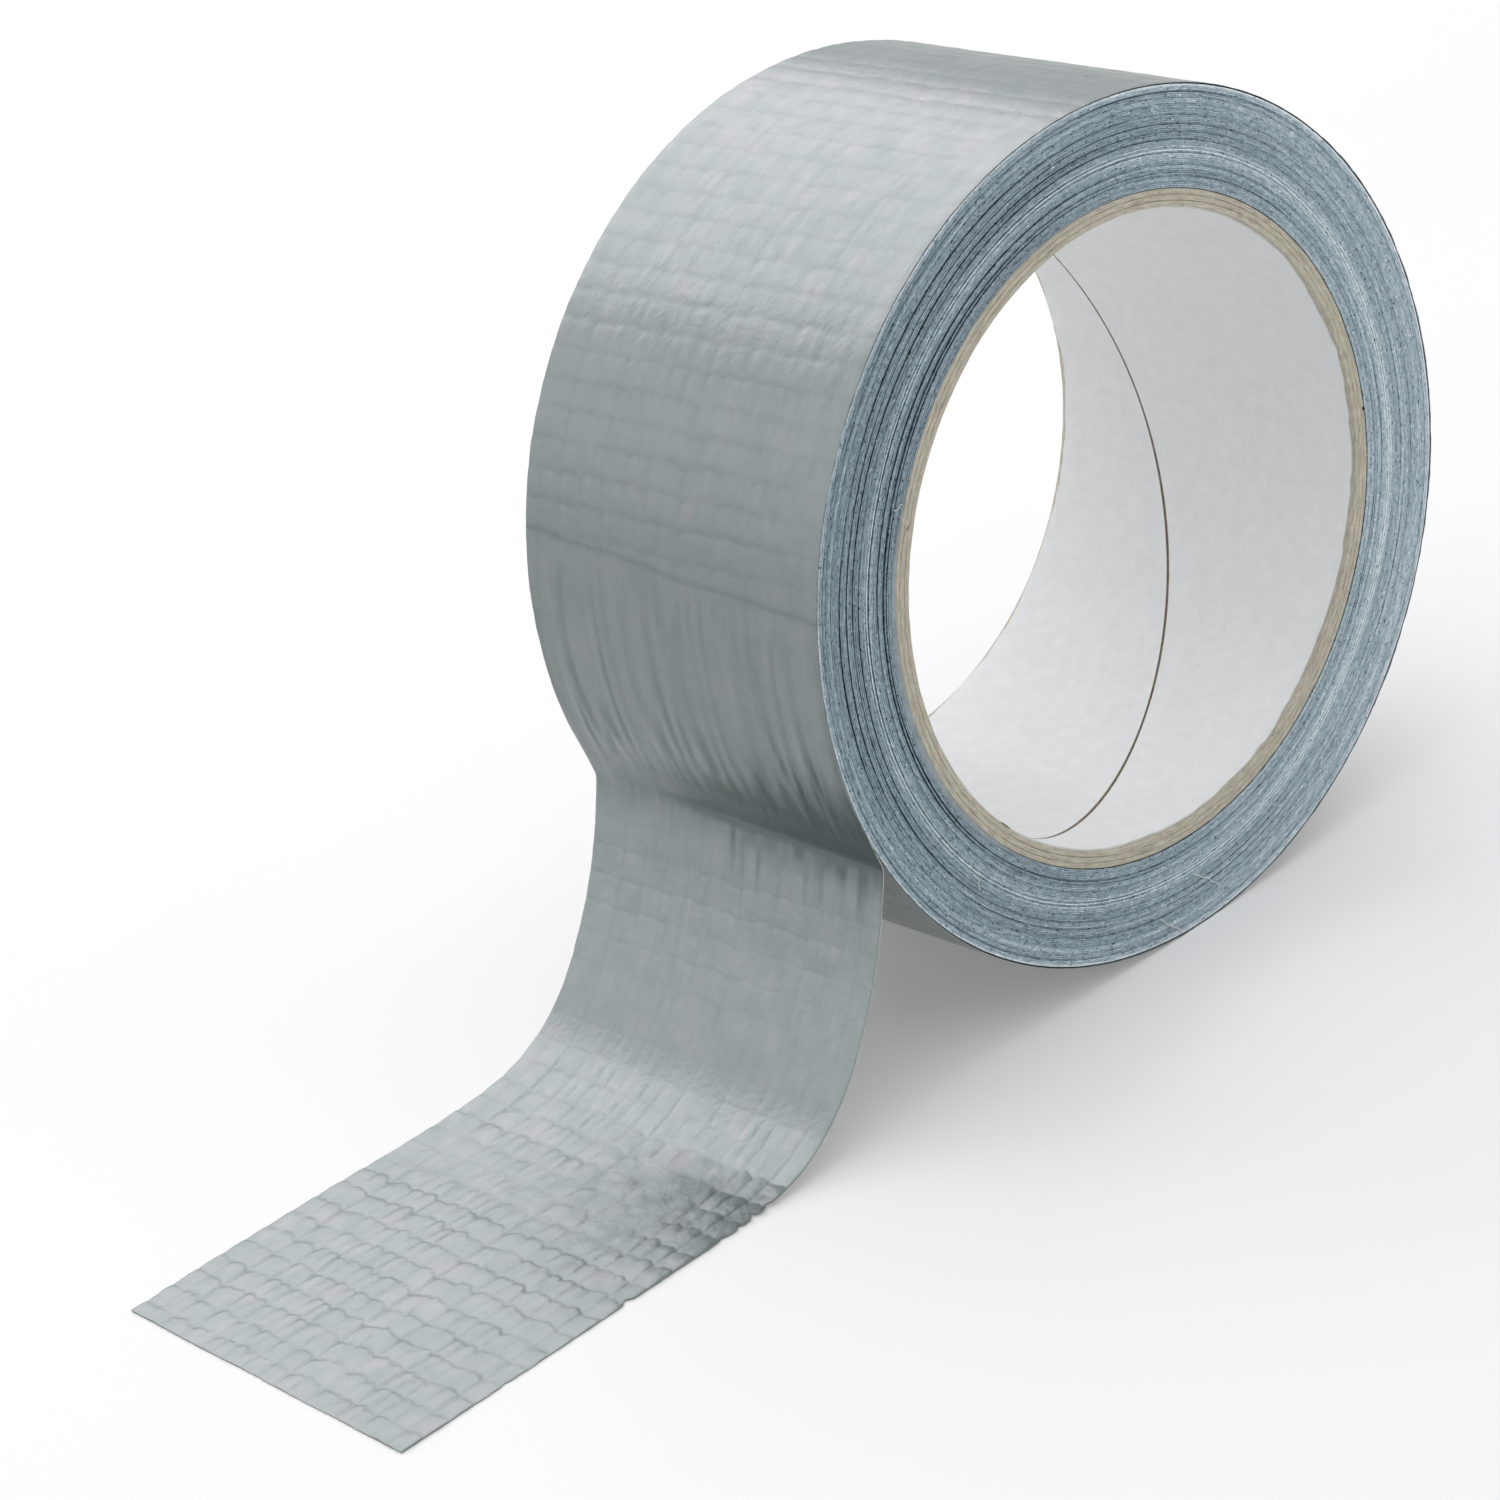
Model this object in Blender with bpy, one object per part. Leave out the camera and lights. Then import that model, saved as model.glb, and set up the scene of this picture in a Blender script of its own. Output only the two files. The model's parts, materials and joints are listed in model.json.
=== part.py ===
"""A roll of cloth duct tape that stands on a table, with its free end pulled off and laid flat.

The tape is a laminate of three layers: a silver polyethylene backing film, a woven cotton
scrim and a rubber adhesive. It is wound on a spiral paperboard core with a white paper liner.
The roll turns about its core as tape is drawn off, and the free end bends at the line where it
leaves the roll and again at its foot.

Metres, +Z up. The roll's axis runs along Y and the free end points along -X. The origin is at
the middle of the footprint, on the table.
"""

import math

import bmesh
import bpy
from mathutils import Vector

# Driving dimensions.
TAPE_WIDTH = 0.050
ROLL_RADIUS = 0.0527
CORE_BORE_RADIUS = 0.0381
LINER_THICKNESS = 0.0003
BOARD_THICKNESS = 0.00068
BOARD_PLIES = 3

# The laminate, and the hairline that keeps its layers apart as separate solids.
ADHESIVE_THICKNESS = 0.00008
SCRIM_THICKNESS = 0.00006
FILM_THICKNESS = 0.00006
LAYER_GAP = 0.00001
LAMINATE_THICKNESS = ADHESIVE_THICKNESS + SCRIM_THICKNESS + FILM_THICKNESS + 2 * LAYER_GAP

# Hairlines between the core's plies, and between the core and the wound tape.
PLY_GAP = 0.00002
CORE_GAP = 0.00005

# Round shapes have this many flat facets, and facets of neighbouring rings line up.
ROUND_FACETS = 96
FACET = 2 * math.pi / ROUND_FACETS

# Each ply of the core is a paper strip wound in a helix, and its edges meet in a butt seam.
# The seam goes this many facets round the core on its way from the front to the back.
SEAM_FACETS = 50
SEAM_WIDTH = 0.0003
LINER_SEAM_START = -37.5 * FACET
SEAM_STAGGER = 24 * FACET

# The free end: the line where it leaves the roll, its slope there, and the bends below it.
PEEL_ANGLE = math.radians(23.5)
PEEL_CLEARANCE = 0.0002
PEEL_HEADING = math.radians(16.5)
SLACK_BEND_RADIUS = 0.060
SLACK_BEND_ANGLE = math.radians(20.5)
FOOT_BEND_RADIUS = 0.022
TAIL_REACH = 0.1290

# The hinges that stand for the strip's flexing, by their distance along the free end.
PEEL_HINGE_AT = 0.004
FOOT_HINGE_AT = 0.0348
HINGE_GAP = 0.0003

BEND_STEP = math.radians(4)

# The roll stands on a facet, so its axis is as high as a facet is far from it.
AXIS_HEIGHT = ROLL_RADIUS * math.cos(FACET / 2)
AXIS_X = (TAIL_REACH - AXIS_HEIGHT) / 2
FRONT_Y = -TAPE_WIDTH / 2
BACK_Y = TAPE_WIDTH / 2


def clear_scene():
    for obj in list(bpy.data.objects):
        bpy.data.objects.remove(obj, do_unlink=True)


def make_material(name, colour, roughness, metallic=0.0):
    material = bpy.data.materials.new(name)
    material.use_nodes = True
    shader = material.node_tree.nodes["Principled BSDF"]
    shader.inputs["Base Color"].default_value = (*colour, 1.0)
    shader.inputs["Roughness"].default_value = roughness
    shader.inputs["Metallic"].default_value = metallic
    return material


def make_materials():
    return {
        "film": make_material("silver_film", (0.42, 0.46, 0.48), 0.32, 0.25),
        "scrim": make_material("cotton_scrim", (0.72, 0.74, 0.72), 0.85),
        "adhesive": make_material("rubber_adhesive", (0.55, 0.58, 0.58), 0.45),
        "wound": make_material("wound_tape_edge", (0.30, 0.38, 0.43), 0.6),
        "board": make_material("grey_board", (0.50, 0.44, 0.34), 0.9),
        "liner": make_material("white_paper", (0.78, 0.79, 0.80), 0.7),
    }


def finish_object(name, bm, material, origin):
    """Turn the bmesh, built in world places, into an object whose origin is the given point."""
    bmesh.ops.translate(bm, vec=-origin, verts=bm.verts)
    bmesh.ops.recalc_face_normals(bm, faces=bm.faces)
    mesh = bpy.data.meshes.new(name)
    bm.to_mesh(mesh)
    bm.free()
    mesh.materials.append(material)
    mesh.shade_smooth()
    mesh.set_sharp_from_angle(angle=math.radians(30))
    obj = bpy.data.objects.new(name, mesh)
    obj.location = origin
    bpy.context.scene.collection.objects.link(obj)
    return obj


def loft(bm, rings, closed):
    """Bridge rings of four points, in order, and cap the two ends unless the loft is closed."""
    rings = [[bm.verts.new(point) for point in ring] for ring in rings]
    count = len(rings)
    for i in range(count if closed else count - 1):
        here, following = rings[i], rings[(i + 1) % count]
        for k in range(4):
            side = (k + 1) % 4
            bm.faces.new((here[k], here[side], following[side], following[k]))
    if not closed:
        bm.faces.new(rings[0][::-1])
        bm.faces.new(rings[-1])


# The roll


def roll_axis():
    return Vector((AXIS_X, 0, AXIS_HEIGHT))


def on_roll(radius, angle, y):
    """A point at this radius from the roll's axis. Angles run from +X towards +Z."""
    return Vector(
        (AXIS_X + radius * math.cos(angle), y, AXIS_HEIGHT + radius * math.sin(angle))
    )


def make_tube(name, inner_radius, outer_radius, material):
    """A faceted tube as wide as the tape, with one of its facets level with the table."""
    bm = bmesh.new()
    rings = []
    for i in range(ROUND_FACETS):
        angle = (i + 0.5) * FACET
        rings.append(
            [
                on_roll(inner_radius, angle, FRONT_Y),
                on_roll(outer_radius, angle, FRONT_Y),
                on_roll(outer_radius, angle, BACK_Y),
                on_roll(inner_radius, angle, BACK_Y),
            ]
        )
    loft(bm, rings, closed=True)
    return finish_object(name, bm, material, roll_axis())


def make_ply(name, inner_radius, outer_radius, seam_start, material):
    """A paper strip wound in a helix. It begins as a point at the front, where its seam starts,
    goes once round, and ends as a point at the back, with its slanted edges side by side."""
    rise = TAPE_WIDTH / SEAM_FACETS
    bm = bmesh.new()
    rings = []
    for i in range(1, ROUND_FACETS + SEAM_FACETS):
        angle = seam_start + i * FACET
        low = max(FRONT_Y, FRONT_Y + rise * (i - ROUND_FACETS) + SEAM_WIDTH / 2)
        high = min(BACK_Y, FRONT_Y + rise * i - SEAM_WIDTH / 2)
        rings.append(
            [
                on_roll(inner_radius, angle, low),
                on_roll(outer_radius, angle, low),
                on_roll(outer_radius, angle, high),
                on_roll(inner_radius, angle, high),
            ]
        )
    loft(bm, rings, closed=False)
    return finish_object(name, bm, material, roll_axis())


def make_core(materials):
    """The white liner and the grey board plies round it. Returns the core's outer radius."""
    outer_radius = CORE_BORE_RADIUS + LINER_THICKNESS
    make_ply(
        "core_liner", CORE_BORE_RADIUS, outer_radius, LINER_SEAM_START, materials["liner"]
    )
    for i in range(1, BOARD_PLIES + 1):
        inner_radius = outer_radius + PLY_GAP
        outer_radius = inner_radius + BOARD_THICKNESS
        seam_start = LINER_SEAM_START + i * SEAM_STAGGER
        name = f"core_board_ply_{i}"
        make_ply(name, inner_radius, outer_radius, seam_start, materials["board"])
    return outer_radius


def make_wound_tape(core_radius, materials):
    """The inner turns as one ring, then the layers of the outermost turn round them."""
    film_inner = ROLL_RADIUS - FILM_THICKNESS
    scrim_outer = film_inner - LAYER_GAP
    scrim_inner = scrim_outer - SCRIM_THICKNESS
    adhesive_outer = scrim_inner - LAYER_GAP
    adhesive_inner = adhesive_outer - ADHESIVE_THICKNESS
    make_tube("outer_turn_film", film_inner, ROLL_RADIUS, materials["film"])
    make_tube("outer_turn_scrim", scrim_inner, scrim_outer, materials["scrim"])
    make_tube("outer_turn_adhesive", adhesive_inner, adhesive_outer, materials["adhesive"])
    make_tube(
        "wound_turns",
        core_radius + CORE_GAP,
        adhesive_inner - LAYER_GAP,
        materials["wound"],
    )


# The free end


def peel_point():
    """Where the middle of the laminate leaves the roll, on the front edge's plane."""
    radius = ROLL_RADIUS + PEEL_CLEARANCE
    return on_roll(radius, math.pi + PEEL_ANGLE, 0)


def tail_sections():
    """(length, radius) of each stretch of the free end. A radius of None is a straight one.

    The first straight is as long as it takes for the foot to come down flat on the table.
    """
    slope = PEEL_HEADING + SLACK_BEND_ANGLE
    slack_drop = SLACK_BEND_RADIUS * (math.sin(slope) - math.sin(PEEL_HEADING))
    foot_drop = FOOT_BEND_RADIUS * (1 - math.sin(slope))
    drop = peel_point().z - LAMINATE_THICKNESS / 2
    straight = (drop - slack_drop - foot_drop) / math.cos(PEEL_HEADING)
    bends = [
        (straight, None),
        (SLACK_BEND_RADIUS * SLACK_BEND_ANGLE, SLACK_BEND_RADIUS),
        (FOOT_BEND_RADIUS * (math.pi / 2 - slope), FOOT_BEND_RADIUS),
    ]
    reached = tail_point(bends, sum(length for length, _ in bends), 0).x
    return bends + [(reached - (AXIS_X - TAIL_REACH), None)]


def tail_point(sections, distance, height):
    """A point this far along the free end, raised by height towards the film's side.

    The heading is the angle from straight down towards -X.
    """
    point = peel_point()
    heading = PEEL_HEADING
    for length, radius in sections:
        step = min(distance, length)
        if radius is None:
            point += step * Vector((-math.sin(heading), 0, -math.cos(heading)))
        else:
            turned = heading + step / radius
            point.x += radius * (math.cos(turned) - math.cos(heading))
            point.z -= radius * (math.sin(turned) - math.sin(heading))
            heading = turned
        distance -= step
        if distance <= 0:
            break
    return point + height * Vector((-math.cos(heading), 0, math.sin(heading)))


def tail_stations(sections, start, end):
    """Distances along the free end, from start to end, close enough to draw its bends."""
    stations = [start]
    reached = 0
    for length, radius in sections:
        count = 1
        if radius is not None:
            count = math.ceil(length / radius / BEND_STEP)
        for i in range(1, count + 1):
            distance = reached + length * i / count
            if start + HINGE_GAP < distance < end - HINGE_GAP:
                stations.append(distance)
        reached += length
    stations.append(end)
    return stations


def make_strip(name, sections, span, layer, material, hinge):
    """One layer of the laminate over a span of the free end."""
    low, high = layer
    bm = bmesh.new()
    rings = []
    for distance in tail_stations(sections, *span):
        under = tail_point(sections, distance, low)
        over = tail_point(sections, distance, high)
        rings.append(
            [
                Vector((under.x, FRONT_Y, under.z)),
                Vector((over.x, FRONT_Y, over.z)),
                Vector((over.x, BACK_Y, over.z)),
                Vector((under.x, BACK_Y, under.z)),
            ]
        )
    loft(bm, rings, closed=False)
    return finish_object(name, bm, material, hinge)


def make_tail(materials):
    """Three links in a row, each of three layers, with a hairline at each hinge."""
    sections = tail_sections()
    total = sum(length for length, _ in sections)
    bottom = -LAMINATE_THICKNESS / 2
    adhesive = (bottom, bottom + ADHESIVE_THICKNESS)
    scrim = (adhesive[1] + LAYER_GAP, adhesive[1] + LAYER_GAP + SCRIM_THICKNESS)
    film = (scrim[1] + LAYER_GAP, LAMINATE_THICKNESS / 2)
    layers = {"adhesive": adhesive, "scrim": scrim, "film": film}
    half_gap = HINGE_GAP / 2
    peel_hinge = tail_point(sections, PEEL_HINGE_AT, 0)
    foot_hinge = tail_point(sections, FOOT_HINGE_AT, 0)
    links = {
        "peel_strip": ((0, PEEL_HINGE_AT - half_gap), roll_axis()),
        "hanging_strip": ((PEEL_HINGE_AT + half_gap, FOOT_HINGE_AT - half_gap), peel_hinge),
        "flat_strip": ((FOOT_HINGE_AT + half_gap, total), foot_hinge),
    }
    for link, (span, hinge) in links.items():
        for layer, heights in layers.items():
            name = f"{link}_{layer}"
            make_strip(name, sections, span, heights, materials[layer], hinge)


def main():
    clear_scene()
    materials = make_materials()
    core_radius = make_core(materials)
    make_wound_tape(core_radius, materials)
    make_tail(materials)


main()
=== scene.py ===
"""The looks of the duct tape roll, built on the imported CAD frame.

The tape is built layer by layer, as the real one is: a silver film with the scrim's relief in it,
a net of cotton threads, and a rubber adhesive. The same builders make the roll's outermost turn
and the free end. The wound turns show as a stack of thin cut edges on each side, and the core is
three plies of board with a spiral paper liner. Metres, +Z up, in the CAD part's frame.
"""

import json
import math

import bpy
import numpy as np
from mathutils import Euler, Matrix, Vector


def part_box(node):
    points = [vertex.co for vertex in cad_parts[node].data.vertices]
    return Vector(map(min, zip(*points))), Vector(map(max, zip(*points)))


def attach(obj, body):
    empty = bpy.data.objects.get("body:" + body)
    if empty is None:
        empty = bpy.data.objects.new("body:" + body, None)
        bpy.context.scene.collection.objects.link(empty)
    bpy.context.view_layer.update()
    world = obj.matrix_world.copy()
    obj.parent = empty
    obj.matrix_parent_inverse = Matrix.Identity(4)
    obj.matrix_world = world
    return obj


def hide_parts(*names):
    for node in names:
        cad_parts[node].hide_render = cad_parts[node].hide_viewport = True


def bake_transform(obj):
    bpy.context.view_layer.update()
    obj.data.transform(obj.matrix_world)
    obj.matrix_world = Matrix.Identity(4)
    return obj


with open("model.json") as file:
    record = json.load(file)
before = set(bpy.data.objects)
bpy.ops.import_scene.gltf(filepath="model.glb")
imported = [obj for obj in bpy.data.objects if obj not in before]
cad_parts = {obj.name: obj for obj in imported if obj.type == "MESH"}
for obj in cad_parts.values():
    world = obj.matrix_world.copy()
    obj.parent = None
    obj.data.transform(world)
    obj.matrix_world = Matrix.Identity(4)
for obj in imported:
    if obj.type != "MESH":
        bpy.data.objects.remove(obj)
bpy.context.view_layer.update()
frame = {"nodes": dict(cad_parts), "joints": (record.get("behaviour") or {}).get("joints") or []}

MM = 0.001
TAU = 2 * math.pi

# The free end's path, as the CAD part has it: the place on the roll and the slope where it leaves
# the roll, and the bends below it.
PEEL_ANGLE = math.radians(23.5)
PEEL_CLEARANCE = 0.2 * MM
PEEL_HEADING = math.radians(16.5)
SLACK_BEND_RADIUS = 60 * MM
SLACK_BEND_ANGLE = math.radians(20.5)
FOOT_BEND_RADIUS = 22 * MM

# The laminate's layers, by height over its middle.
ADHESIVE_BOTTOM = -0.11 * MM
ADHESIVE_TOP = -0.03 * MM
FILM_BOTTOM = 0.05 * MM
FILM_TOP = 0.11 * MM
LAMINATE = FILM_TOP - ADHESIVE_BOTTOM

# The core's liner and plies.
LINER_THICKNESS = 0.3 * MM
PLY_PITCH = 0.70 * MM
PLY_THICKNESS = 0.66 * MM
BOARD_PLIES = 3
SEAM_START = math.radians(-140.6)
SEAM_TURN = math.radians(187.5)
SEAM_GAP = 1.05 * MM
LINER_INSET = 0.75 * MM

# The scrim's threads.
WARP_PITCH = 1.27 * MM
WEFT_PITCH = 1.86 * MM


def distances_to_axis(node):
    """How near to the roll's axis, and how far from it, the points of a CAD node lie."""
    points = np.array([v.co for v in frame["nodes"][node].data.vertices])
    radii = np.hypot(points[:, 0] - AXIS.x, points[:, 2] - AXIS.z)
    return radii.min(), radii.max()


joint_places = {joint["name"]: Vector(joint["pos_m"]) for joint in frame["joints"]}
AXIS = joint_places["roll_unwind"]
BORE_RADIUS = distances_to_axis("core_liner")[0]
CORE_RADIUS = distances_to_axis("core_board_ply_3")[1]
ROLL_RADIUS = distances_to_axis("outer_turn_film")[1]
FRONT_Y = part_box("outer_turn_film")[0].y
BACK_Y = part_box("outer_turn_film")[1].y
WIDTH = BACK_Y - FRONT_Y
CUT_END_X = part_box("flat_strip_film")[0].x
CIRCUMFERENCE = TAU * ROLL_RADIUS


# ---- Numbers: ramps and seeded noise ----

NOISE_CELLS = 512


def ramp(x, start, end):
    """From 0 at start to 1 at end, smoothly."""
    t = np.clip((x - start) / (end - start), 0, 1)
    return t * t * (3 - 2 * t)


def bump(x, middle, half_width):
    """A smooth hump, 1 high at its middle."""
    return np.exp(-(((x - middle) / half_width) ** 2))


def noise(u, v, seed, repeat=NOISE_CELLS):
    """Smooth random values from -1 to 1 on a lattice of unit steps, which repeats along u."""
    table = np.random.default_rng(seed).uniform(-1, 1, (NOISE_CELLS, NOISE_CELLS))
    u, v = np.broadcast_arrays(u, v)
    cell_u = np.floor(u).astype(int)
    cell_v = np.floor(v).astype(int)
    part_u = ramp(u - cell_u, 0, 1)
    part_v = ramp(v - cell_v, 0, 1)
    low_u, high_u = cell_u % repeat, (cell_u + 1) % repeat
    low_v, high_v = cell_v % NOISE_CELLS, (cell_v + 1) % NOISE_CELLS
    near = table[low_u, low_v] * (1 - part_u) + table[high_u, low_v] * part_u
    far = table[low_u, high_v] * (1 - part_u) + table[high_u, high_v] * part_u
    return near * (1 - part_v) + far * part_v


# ---- Meshes ----

SHARP_ANGLE = math.radians(62)


def mesh_object(name, points, quads, caps=(), attributes=None):
    """A smooth-shaded mesh from points, four-cornered faces and caps with any number of corners."""
    quads = np.asarray(quads)
    corners = np.concatenate([quads.ravel(), *[np.asarray(cap) for cap in caps]])
    sizes = np.concatenate([np.full(len(quads), 4), [len(cap) for cap in caps]]).astype(int)
    starts = np.concatenate([[0], np.cumsum(sizes)[:-1]])
    mesh = bpy.data.meshes.new(name)
    mesh.vertices.add(len(points))
    mesh.vertices.foreach_set("co", np.asarray(points, np.float32).ravel())
    mesh.loops.add(len(corners))
    mesh.loops.foreach_set("vertex_index", corners.astype(np.int32))
    mesh.polygons.add(len(sizes))
    mesh.polygons.foreach_set("loop_start", starts.astype(np.int32))
    mesh.update(calc_edges=True)
    mesh.shade_smooth()
    mesh.set_sharp_from_angle(angle=SHARP_ANGLE)
    for key, values in (attributes or {}).items():
        kind, field = ("FLOAT_VECTOR", "vector") if values.ndim == 2 else ("FLOAT", "value")
        attribute = mesh.attributes.new(key, kind, "POINT")
        attribute.data.foreach_set(field, np.asarray(values, np.float32).ravel())
    obj = bpy.data.objects.new(name, mesh)
    bpy.context.scene.collection.objects.link(obj)
    return obj


def grid_quads(rows, columns, closed):
    """The faces between rows of points, each row a loop, with the rows in a closed ring or not."""
    row = np.arange(rows if closed else rows - 1)[:, None]
    column = np.arange(columns)[None, :]
    next_row = (row + 1) % rows
    next_column = (column + 1) % columns
    corners = np.broadcast_arrays(
        row * columns + column,
        row * columns + next_column,
        next_row * columns + next_column,
        next_row * columns + column,
    )
    return np.stack(corners, axis=2).reshape(-1, 4)


def zipped_cap(columns, fine):
    """Triangles that close a section, from its fine side to the coarse side that runs back."""
    coarse = columns - fine
    on_coarse = np.linspace(0, fine - 1, coarse).round().astype(int)
    triangles = []
    for index in range(fine - 1):
        near = int(np.searchsorted(on_coarse, index, side="right")) - 1
        triangles.append((index + 1, index, columns - 1 - near))
        if on_coarse[near + 1] == index + 1:
            triangles.append((index + 1, columns - 1 - near, columns - 2 - near))
    return np.array(triangles)


def swept_solid(name, points, closed, attributes=None, fine=None):
    """A solid from rows of points, each row a loop round its cross-section. It is a closed ring, or
    its ends are flat, or zipped between the section's fine and coarse sides."""
    rows, columns = points.shape[:2]
    quads = grid_quads(rows, columns, closed)
    caps = []
    if not closed and fine:
        first = zipped_cap(columns, fine)
        caps = [*first, *(first[:, ::-1] + (rows - 1) * columns)]
    elif not closed:
        first = np.arange(columns)
        caps = [first[::-1], first + (rows - 1) * columns]
    flat = {key: v.reshape((-1, 3) if v.ndim == 3 else -1) for key, v in (attributes or {}).items()}
    return mesh_object(name, points.reshape(-1, 3), quads, caps, flat)


# ----
# Where tape lies. Along is the distance along the tape from the line where it leaves the roll:
# above zero on the free end, and below zero going up and over the roll. Across is the distance
# from the front edge. Height is over the laminate's middle, towards the film.

PATH_STEP = 0.05 * MM
PATH_LENGTH = 120 * MM
LIFT_START = -5.0 * MM
# How far under the outermost turn's surface the free end starts.
TUCK = 0.02 * MM
CREASE_SOFTNESS = 0.9 * MM
FOOT_SOFTNESS = 5.0 * MM


def free_end_path():
    """(along, x, z) of the laminate's middle, from where it starts to lift off the roll."""
    slack_heading = PEEL_HEADING + SLACK_BEND_ANGLE
    peel_radius = ROLL_RADIUS + PEEL_CLEARANCE
    peel_x = AXIS.x - peel_radius * math.cos(PEEL_ANGLE)
    peel_z = AXIS.z - peel_radius * math.sin(PEEL_ANGLE)
    slack_drop = SLACK_BEND_RADIUS * (math.sin(slack_heading) - math.sin(PEEL_HEADING))
    foot_drop = FOOT_BEND_RADIUS * (1 - math.sin(slack_heading))
    straight = (peel_z + ADHESIVE_BOTTOM - slack_drop - foot_drop) / math.cos(PEEL_HEADING)
    slack = SLACK_BEND_RADIUS * (slack_heading - PEEL_HEADING)
    foot = FOOT_BEND_RADIUS * (math.pi / 2 - slack_heading)
    along = np.arange(0, PATH_LENGTH, PATH_STEP)
    heading = PEEL_HEADING + np.clip(along - straight, 0, slack) / SLACK_BEND_RADIUS
    heading += np.clip(along - straight - slack, 0, foot) / FOOT_BEND_RADIUS
    middle = (heading[1:] + heading[:-1]) / 2
    x = peel_x - np.concatenate([[0], np.cumsum(np.sin(middle))]) * PATH_STEP
    z = peel_z - np.concatenate([[0], np.cumsum(np.cos(middle))]) * PATH_STEP
    above = np.arange(LIFT_START - 5 * MM, -PATH_STEP / 2, PATH_STEP)
    angle = math.pi + PEEL_ANGLE + above / ROLL_RADIUS
    lift = ramp(above, LIFT_START, 0) * (PEEL_CLEARANCE + FILM_TOP + TUCK)
    radius = ROLL_RADIUS - FILM_TOP - TUCK + lift
    along = np.concatenate([above, along])
    x = np.concatenate([AXIS.x + radius * np.cos(angle), x])
    z = np.concatenate([AXIS.z + radius * np.sin(angle), z])
    return along, *softened(along, x, z)


def softened(along, x, z):
    """The path with its crease and its foot bend eased, as a laminate bends."""
    def eased(line, softness, near):
        reach = int(3 * softness / PATH_STEP)
        kernel = bump(np.arange(-reach, reach + 1) * PATH_STEP, 0, softness)
        kernel /= kernel.sum()
        smooth = np.convolve(np.pad(line, reach, mode="edge"), kernel, mode="valid")
        return line + near * (smooth - line)

    crease = 1 - ramp(np.abs(along), 2.5 * MM, 3.5 * MM)
    foot = ramp(along, 12 * MM, 24 * MM) * (1 - ramp(along, 62 * MM, 74 * MM))
    return [eased(eased(line, CREASE_SOFTNESS, crease), FOOT_SOFTNESS, foot) for line in (x, z)]


PATH_ALONG, PATH_X, PATH_Z = free_end_path()
SLOPE_X = np.gradient(PATH_X, PATH_ALONG)
SLOPE_Z = np.gradient(PATH_Z, PATH_ALONG)
CUT_END = float(np.interp(-CUT_END_X, -PATH_X, PATH_ALONG))


def on_free_end(along, across, height):
    """Points on the free end."""
    lines = (PATH_X, PATH_Z, SLOPE_X, SLOPE_Z)
    x, z, slope_x, slope_z = (np.interp(along, PATH_ALONG, line) for line in lines)
    length = np.hypot(slope_x, slope_z)
    x = x + height * slope_z / length
    z = z - height * slope_x / length
    return np.stack(np.broadcast_arrays(x, FRONT_Y + across, z), axis=-1)


def round_axis(radius, angle, y):
    """Points at a radius and an angle round the roll's axis."""
    x = AXIS.x + radius * np.cos(angle)
    z = AXIS.z + radius * np.sin(angle)
    return np.stack(np.broadcast_arrays(x, y, z), axis=-1)


def on_roll(along, across, height):
    """Points on the roll's outermost turn."""
    angle = math.pi + PEEL_ANGLE + along / ROLL_RADIUS
    return round_axis(ROLL_RADIUS - FILM_TOP + height, angle, FRONT_Y + across)


# ----
# The film's relief. Distances in this section are in millimetres, and up is the distance from the
# line where the tape leaves the roll, going up and over the roll.

ROW_PITCH = 3.62
# The lengthwise lines: distance from the front edge, and how deep they are pressed.
COLUMNS = (
    (-2.0, 0.0),
    (2.8, 0.6),
    (5.3, 0.25),
    (7.6, 0.55),
    (9.6, 0.40),
    (11.6, 0.75),
    (14.3, 0.30),
    (17.0, 0.60),
    (20.1, 0.25),
    (23.0, 1.0),
    (26.2, 0.45),
    (28.9, 0.65),
    (30.8, 0.35),
    (32.6, 0.65),
    (34.7, 0.30),
    (36.6, 0.70),
    (38.6, 0.30),
    (40.4, 0.60),
    (44.3, 0.95),
    (47.4, 0.25),
    (52.0, 0.0),
)
COLUMN_PLACES, COLUMN_DEPTHS = np.array(COLUMNS).T.copy()

# How the scrim's cells differ. Down the tape the pattern repeats after this many rows.
CELL_ROWS = 257
cells = np.random.default_rng(17)
CELL_STAGGER = cells.uniform(-0.05, 0.05, len(COLUMNS))
CELL_SLANT = cells.uniform(-0.6, 1.0, len(COLUMNS))
CELL_LINE_DEPTH = cells.uniform(0.35, 1.0, (CELL_ROWS, len(COLUMNS)))
CELL_HEIGHT = cells.uniform(0.1, 1.0, (CELL_ROWS, len(COLUMNS)))
CELL_TILT = cells.uniform(-1, 1, (CELL_ROWS, len(COLUMNS)))


def stretches(along, up):
    """How strongly each stretch of the tape is laid flat, hanging, pulled taut, wound, or creased."""
    laid = ramp(along, 29, 48)
    hanging = ramp(along, 2, 9) * (1 - laid) * (1 - 0.6 * bump(along, 30, 6))
    taut = ramp(up, 1, 10) * (1 - ramp(up, 27, 36))
    wound = ramp(up, 31, 37)
    creased = bump(along, 0, 7)
    return laid, hanging, taut, wound, creased


def across_cell(along, across):
    """(column, part, left, right): each point's column, its share of the way across it, and the
    distances to the column's two lines, which wander a little."""
    wander = 0.30 * noise(along / 7, across / 5, 11)
    wander = wander + 0.09 * noise(along / 1.8, across / 4, 10)
    shifted = across + wander
    column = np.searchsorted(COLUMN_PLACES, shifted.ravel()).reshape(shifted.shape)
    column = np.clip(column, 1, len(COLUMNS) - 1)
    left, right = COLUMN_PLACES[column - 1], COLUMN_PLACES[column]
    return column, (shifted - left) / (right - left), shifted - left, right - shifted


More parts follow.
